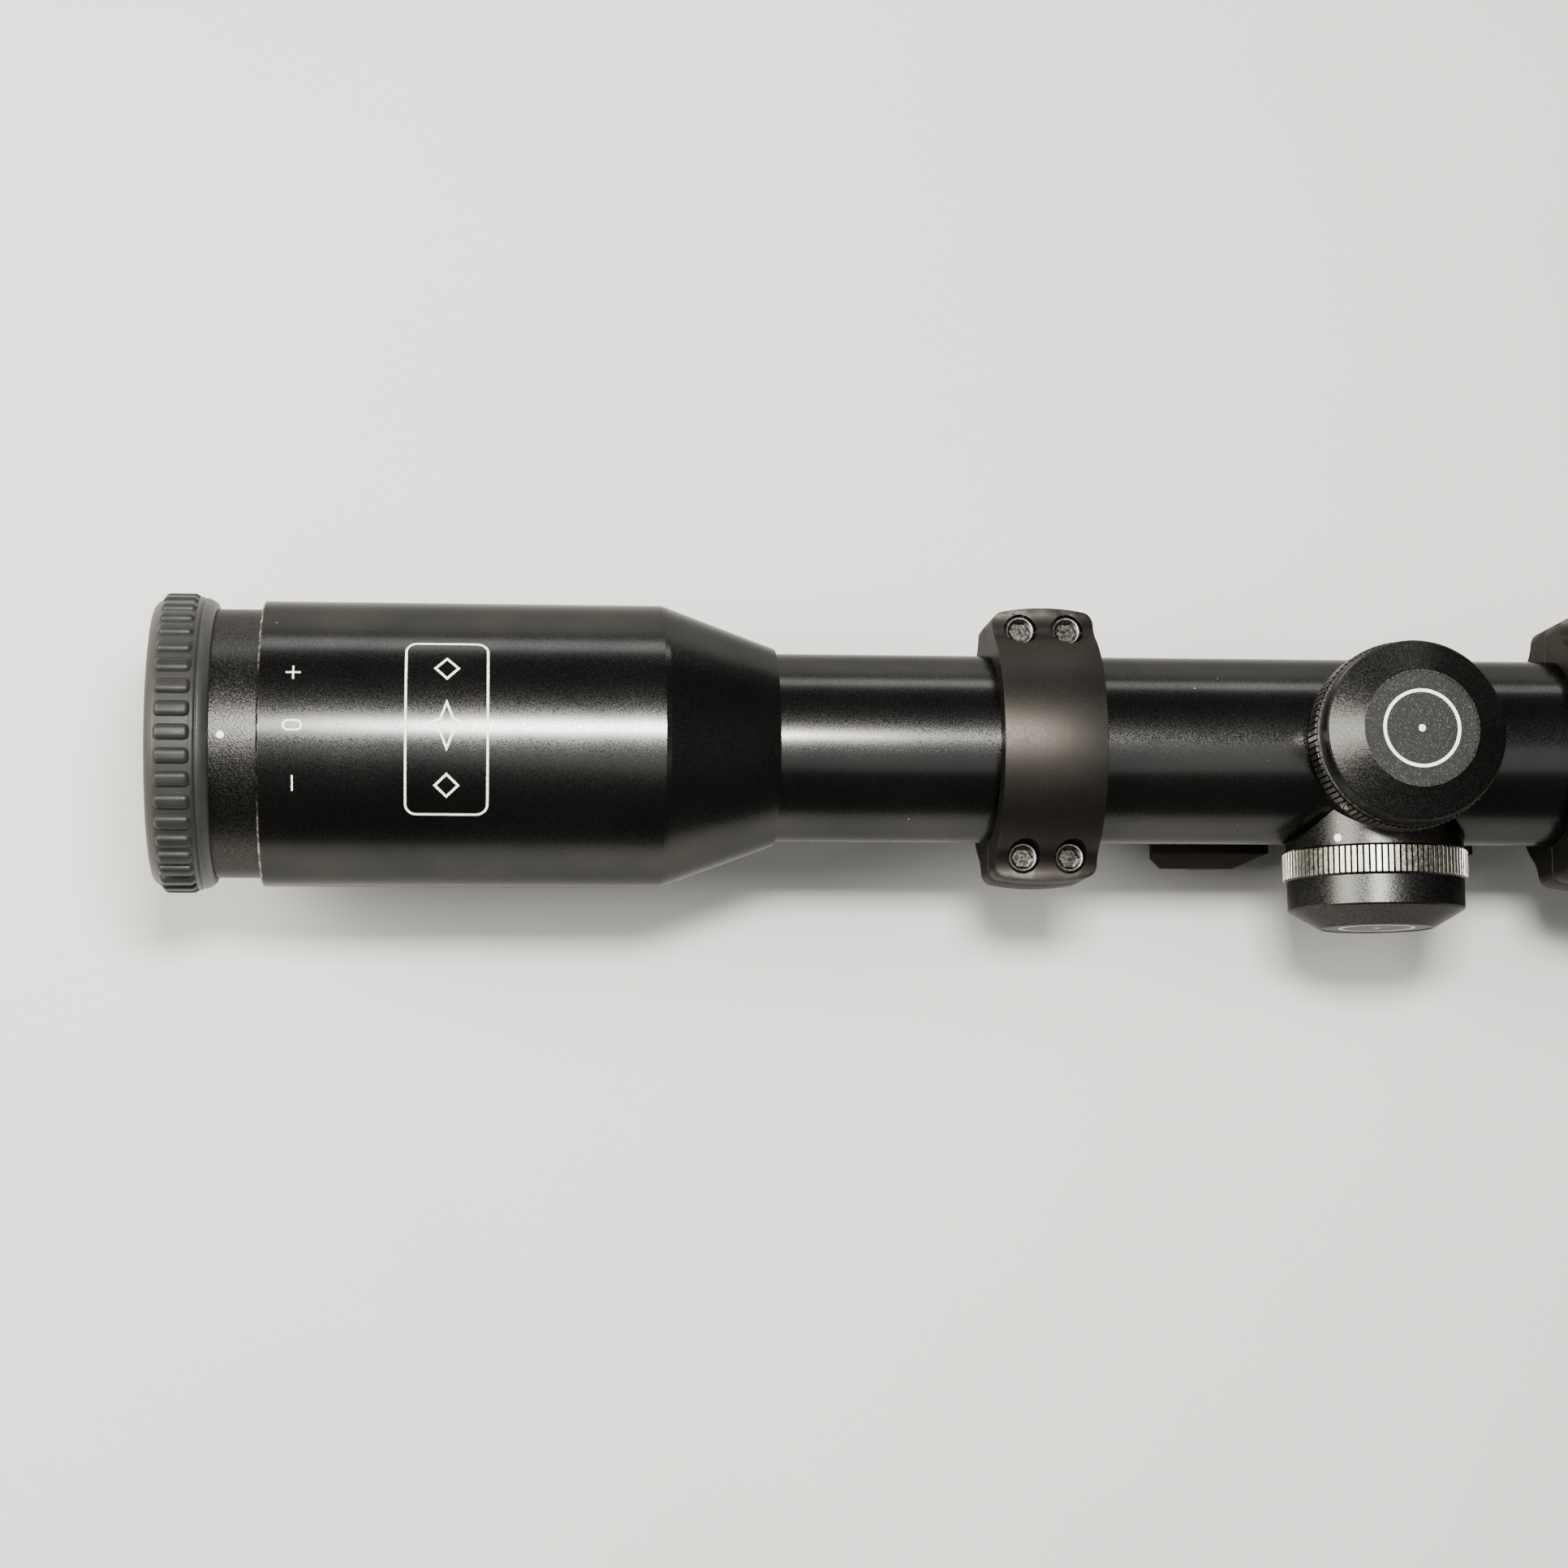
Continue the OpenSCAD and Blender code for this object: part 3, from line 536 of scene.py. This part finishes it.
def round_box(half_x, half_y, radius):
    """Corner points of a box with round corners."""
    points = []
    for quarter in range(4):
        centre_x = (half_x - radius) * (1 if quarter in (0, 3) else -1)
        centre_y = (half_y - radius) * (1 if quarter in (0, 1) else -1)
        for step in range(7):
            a = TURN * (quarter + step / 6) / 4
            points.append((centre_x + radius * math.cos(a), centre_y + radius * math.sin(a)))
    return points


def painted(name, draw, x, angle, radius, body):
    """A painted mark: draw(bm) makes flat faces, which are thickened and wrapped on the cylinder."""
    bm = bmesh.new()
    draw(bm)
    cut_long_edges(bm, 0.9)
    thicken(bm, bm.faces[:])
    wrap(bm, bm.verts, x, angle, radius)
    return make_piece(name, bm, body, [WHITE], smooth=False)


# ---- Marks ----

MARK_WIDTH, EMBLEM_WIDTH = 0.23, 0.3
DIAL_X = span("eyepiece_housing", 0)[0] + 4.6 * MM
PLUS_AT, ZERO_AT, MINUS_AT, DIOPTER_DOT_AT = 21.2, -0.4, -23.1, -4.2  # degrees from the top
EMBLEM_X = span("eyepiece_housing", 0)[0] + 24.2 * MM
DIOPTER_DOT_X = span("eyepiece_housing", 0)[0] - 4.53 * MM
NECK_DOT_BACK, NECK_DOT_OUT = 7.6 * MM, 12.8 * MM


def draw_plus(bm):
    arm = 0.96
    stroke(bm, (-arm, 0), (-MARK_WIDTH / 2, 0), MARK_WIDTH)
    stroke(bm, (MARK_WIDTH / 2, 0), (arm, 0), MARK_WIDTH)
    stroke(bm, (0, -arm), (0, arm), MARK_WIDTH)


def draw_minus(bm):
    stroke(bm, (0, -1.05), (0, 1.05), MARK_WIDTH)


def draw_zero(bm):
    outline(bm, round_box(1.25, 0.72, 0.70), MARK_WIDTH)


def star(around, tip, waist):
    """Corner points of a four-pointed star that sits around mm along the frame."""
    points = []
    for corner in range(8):
        a = TURN * corner / 8
        reach = waist if corner % 2 else tip
        points.append((reach * math.cos(a), around + reach * math.sin(a)))
    return points


def draw_emblem(bm):
    """A plain frame with a star between two small diamonds."""
    outline(bm, round_box(5.4, 12.0, 1.6), EMBLEM_WIDTH)
    outline(bm, star(0, 3.4, 1.34), EMBLEM_WIDTH)
    for around in (-7.8, 7.8):
        outline(bm, star(around, 1.7, 1.2), EMBLEM_WIDTH)


def make_dot(name, centre, normal, radius, body):
    """A round painted dot, slightly domed."""
    bm = bmesh.new()
    bmesh.ops.create_uvsphere(bm, u_segments=20, v_segments=10, radius=radius * MM)
    bmesh.ops.scale(bm, verts=bm.verts, vec=(1, 1, 0.08))
    turn = Vector((0, 0, 1)).rotation_difference(Vector(normal)).to_matrix()
    bmesh.ops.rotate(bm, verts=bm.verts, cent=(0, 0, 0), matrix=turn)
    bmesh.ops.translate(bm, verts=bm.verts, vec=Vector(centre))
    return make_piece(name, bm, body, [WHITE])


def on_cylinder(x, degrees, radius):
    """A point and the outward direction on a cylinder about the optical axis."""
    a = math.radians(degrees)
    out = Vector((0, math.sin(a), math.cos(a)))
    return Vector((x, AXIS.y, AXIS.z)) + out * radius, out


def make_marks():
    painted("mark_plus", draw_plus, DIAL_X, math.radians(PLUS_AT), HOUSING_R, "sight")
    painted("mark_zero", draw_zero, DIAL_X, math.radians(ZERO_AT), HOUSING_R, "sight")
    painted("mark_minus", draw_minus, DIAL_X, math.radians(MINUS_AT), HOUSING_R, "sight")
    painted("mark_emblem", draw_emblem, EMBLEM_X, 0.0, HOUSING_R, "sight")
    dot, out = on_cylinder(DIOPTER_DOT_X, DIOPTER_DOT_AT, BARREL_R)
    make_dot("diopter_dot", dot, out, 0.5, "diopter_ring")
    neck_r = (span("windage_neck", 0)[1] - span("windage_neck", 0)[0]) / 2
    sideways = math.sqrt(neck_r ** 2 - NECK_DOT_BACK ** 2)
    for name, out, along in (
            ("windage_dot", (-NECK_DOT_BACK, 0, sideways), (0, -NECK_DOT_OUT, 0)),
            ("elevation_dot", (-NECK_DOT_BACK, -sideways, 0), (0, 0, NECK_DOT_OUT))):
        centre = Vector((TURRET.x, AXIS.y, AXIS.z)) + Vector(out) + Vector(along)
        make_dot(name, centre, Vector(out).normalized(), 0.55, "sight")


def make_knob_rings():
    """The white ring and centre dot on each knob's inlaid plate."""
    for turret, axis in (("elevation", Vector((0, 0, 1))), ("windage", Vector((0, -1, 0)))):
        plate = turret + "_knob_disc"
        low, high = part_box(plate)
        face = middle(plate)
        if turret == "elevation":
            face.z = high[2]
        else:
            face.y = low[1]
        bm = bmesh.new()
        lathe(bm, [(-0.03, 4.74), (0.02, 4.74), (0.02, 5.18), (-0.03, 5.18)], face, axis, 96)
        make_piece(turret + "_white_ring", bm, turret + "_turret", [WHITE])
        make_dot(turret + "_centre_dot", face, axis, 0.48, turret + "_turret")


# ---- Rubber ring ----

RIBS = 40
RIB_PHASE = 0.39  # of a pitch
RIB_LENGTH, RIB_WIDTH, RIB_HEIGHT = 4.7, 2.15, 1.2  # mm
RIB_CORNER, RIB_EDGE = 0.80, 0.78  # mm, rounding of a rib's corners and of its top


def add_rib(bm, place, centre, angle):
    """One rib with round corners and a round top, turned about the axis by angle."""
    made = bmesh.ops.create_cube(bm, size=1.0)["verts"]
    bmesh.ops.scale(bm, verts=made, vec=(RIB_LENGTH * MM, RIB_WIDTH * MM, RIB_HEIGHT * MM))
    edges = list({e for v in made for e in v.link_edges})
    upright = [e for e in edges if abs((e.verts[0].co - e.verts[1].co).z) > 0.5 * RIB_HEIGHT * MM]
    result = bmesh.ops.bevel(
        bm, geom=upright, offset=RIB_CORNER * MM, segments=5, profile=0.5, affect="EDGES", material=-1)
    rib = {v for f in result["faces"] for v in f.verts}
    rib |= {w for v in rib for f in v.link_faces for w in f.verts}
    top = max(v.co.z for v in rib)
    rim = {e for v in rib for e in v.link_edges if all(abs(w.co.z - top) < 1e-7 for w in e.verts)}
    result = bmesh.ops.bevel(
        bm, geom=list(rim), offset=RIB_EDGE * MM, segments=5, profile=0.5, affect="EDGES", material=-1)
    rib = {v for v in rib if v.is_valid} | {v for f in result["faces"] for v in f.verts}
    bmesh.ops.translate(bm, verts=list(rib), vec=place)
    bmesh.ops.rotate(bm, verts=list(rib), cent=centre, matrix=Matrix.Rotation(angle, 3, "X"))


def make_rubber_ring():
    """Moulded rubber ring with soft-edged ribs, which stands for the plain CAD one."""
    rear, front = (v / MM for v in span("rubber_ring", 0))
    outer = RUBBER_R / MM
    inner = BARREL_R / MM
    lip, base = 17.4, outer - 0.62
    centre = Vector((0, AXIS.y, AXIS.z))
    profile = [
        (rear + 0.72, 15.0), (rear, 15.3), (rear, 18.1), (rear + 0.4, outer - 1.25),
        (rear + 1.2, outer - 0.72), (rear + 2.2, base), (front - 2.5, base),
        (front - 2.25, base + 0.2), (front - 1.85, base + 0.2),
        (front - 1.66, base - 0.2), (front - 1.45, base + 0.1), (front - 0.8, base - 0.15),
        (front - 0.15, base - 0.6), (front, base - 1.0), (front, inner), (front - 1.04, inner),
        (front - 1.04, lip), (rear + 0.72, lip)]
    bm = bmesh.new()
    lathe(bm, profile, centre, (1, 0, 0), 160, rounded=(2, 3, 4, 7, 8, 9, 10, 11, 12), radius=0.18)
    rib_x = rear + 1.22 + RIB_LENGTH / 2
    place = centre + Vector((rib_x * MM, 0, (outer - RIB_HEIGHT / 2) * MM))
    for i in range(RIBS):
        add_rib(bm, place, centre, TURN * (i + RIB_PHASE) / RIBS)
    ring = make_piece("rubber_grip", bm, "diopter_ring", [RUBBER])
    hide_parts("rubber_ring")


# ---- Screws ----

SIXTH = TURN / 6
ROUND = 48
CAP_SCREW_X, CAP_SCREW_Y = 3.15 * MM, 15.3 * MM
HEAD_R, HEAD_H, HEX_R, SHANK_R = 2.05, 2.9, 1.44, 1.5  # mm


def socket_screw(bm, centre, head_r, top, head_h, hex_r, shank_r, tip):
    """Socket-head screw along Z: bright chamfered rim, hex socket whose walls and floor get a near-black
    metal as painted shade, and a plain shank.
    """

    def ring(radius, z, hexagon=False):
        made = bmesh.ops.create_circle(bm, cap_ends=False, segments=ROUND, radius=radius * MM)["verts"]
        for v in made if hexagon else ():
            to_flat = math.atan2(v.co.y, v.co.x) % SIXTH - SIXTH / 2
            v.co *= math.cos(SIXTH / 2) / math.cos(to_flat)
        bmesh.ops.translate(bm, verts=made, vec=(centre[0], centre[1], z * MM))
        return list({e for v in made for e in v.link_edges})

    rings = [
        ring(shank_r, tip), ring(shank_r, top - head_h), ring(head_r, top - head_h),
        ring(head_r, top - 0.42), ring(head_r - 0.07, top - 0.22), ring(head_r - 0.3, top - 0.02),
        ring(head_r - 0.42, top - 0.05), ring(hex_r + 0.1, top - 0.1),
        ring(hex_r, top - 0.25, True), ring(hex_r - 0.02, top - 1.6, True)]
    # Finish 2, on the hex walls and the socket floor, is painted shade.
    for number, (low, high) in enumerate(zip(rings, rings[1:])):
        faces = bmesh.ops.bridge_loops(bm, edges=low + high)["faces"]
        for face in faces:
            face.material_index = 1 if number in (3, 4, 5) else 2 if number == 8 else 0
    bmesh.ops.contextual_create(bm, geom=rings[0])
    bmesh.ops.contextual_create(bm, geom=rings[-1], mat_nr=2)


def make_cap_screws():
    """Detailed screws in place of the plain ones."""
    for end in ("rear", "front"):
        node = "cap_screws_" + end
        centre = middle(node)
        low, high = (v / MM for v in span(node, 2))
        bm = bmesh.new()
        for x in (-1, 1):
            for y in (-1, 1):
                place = (centre[0] + x * CAP_SCREW_X, centre[1] + y * CAP_SCREW_Y)
                socket_screw(bm, place, HEAD_R, high, HEAD_H, HEX_R, SHANK_R, low)
        steels = [DARK_STEEL, WORN_STEEL, SOCKET_SHADE]
        screws = make_piece("socket_screws_" + end, bm, "sight", steels)
        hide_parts(node)


# ---- Stage ----


def make_floor():
    bm = bmesh.new()
    bmesh.ops.create_grid(bm, x_segments=8, y_segments=8, size=2.5)
    bmesh.ops.translate(bm, verts=bm.verts, vec=(0, 0, FLOOR_Z - 0.05 * MM))
    mesh = bpy.data.meshes.new("floor")
    bm.to_mesh(mesh)
    bm.free()
    mesh.materials.append(pale_floor())
    floor = bpy.data.objects.new("floor", mesh)
    bpy.context.scene.collection.objects.link(floor)


def area_light(name, place, target, size, power, colour=(1, 1, 1)):
    """A soft rectangular light; place and target are in mm from the turrets and the optical axis."""
    data = bpy.data.lights.new(name, "AREA")
    data.shape = "RECTANGLE"
    data.size, data.size_y = size[0] * MM, size[1] * MM
    data.energy = power
    data.color = colour
    light = bpy.data.objects.new(name, data)
    start, end = from_sight(place), from_sight(target)
    light.location = start
    light.rotation_mode = "QUATERNION"
    light.rotation_quaternion = (end - start).to_track_quat("-Z", "Y")
    bpy.context.scene.collection.objects.link(light)


def from_sight(point):
    """A point in mm, counted from the turrets along the optical axis, as a place in the row frame."""
    return Vector((TURRET.x, AXIS.y, AXIS.z)) + Vector(point) * MM


def make_lights():
    area_light("key", (-92, 60, 470), (-90, 0, 0), (115, 60), 5.2, (1.0, 0.98, 0.94))
    area_light("side", (-560, 60, 440), (-20, 0, 0), (330, 340), 9.0, (1.0, 0.98, 0.90))
    area_light("back", (-120, 800, 140), (-80, 0, 0), (900, 150), 2.2, (0.98, 0.99, 1.0))
    area_light("overhead", (300, -420, 1500), (0, 0, 0), (900, 900), 3.0)
    world = bpy.data.worlds.new("studio")
    world.use_nodes = True
    world.node_tree.nodes["Background"].inputs["Color"].default_value = (0.92, 0.89, 0.84, 1)
    world.node_tree.nodes["Background"].inputs["Strength"].default_value = 0.15
    bpy.context.scene.world = world


def make_camera():
    data = bpy.data.cameras.new("camera")
    data.sensor_width = 36
    data.lens = 75.16
    camera = bpy.data.objects.new("camera", data)
    place, target = from_sight((-122.908, -60.265, 435.658)), from_sight((-81.099, -4.887, 0))
    ahead = (target - place).normalized()
    right = ahead.cross(Vector((0.005, 1, 0))).normalized()
    above = right.cross(ahead)
    camera.rotation_mode = "QUATERNION"
    camera.rotation_quaternion = Matrix((right, above, -ahead)).transposed().to_quaternion()
    camera.location = place
    data.clip_start, data.clip_end = 0.01, 20
    bpy.context.scene.collection.objects.link(camera)
    bpy.context.scene.camera = camera


make_camera()
paint_nodes()
soften_edges()
make_marks()
make_knob_rings()
make_rubber_ring()
make_cap_screws()
make_floor()
make_lights()
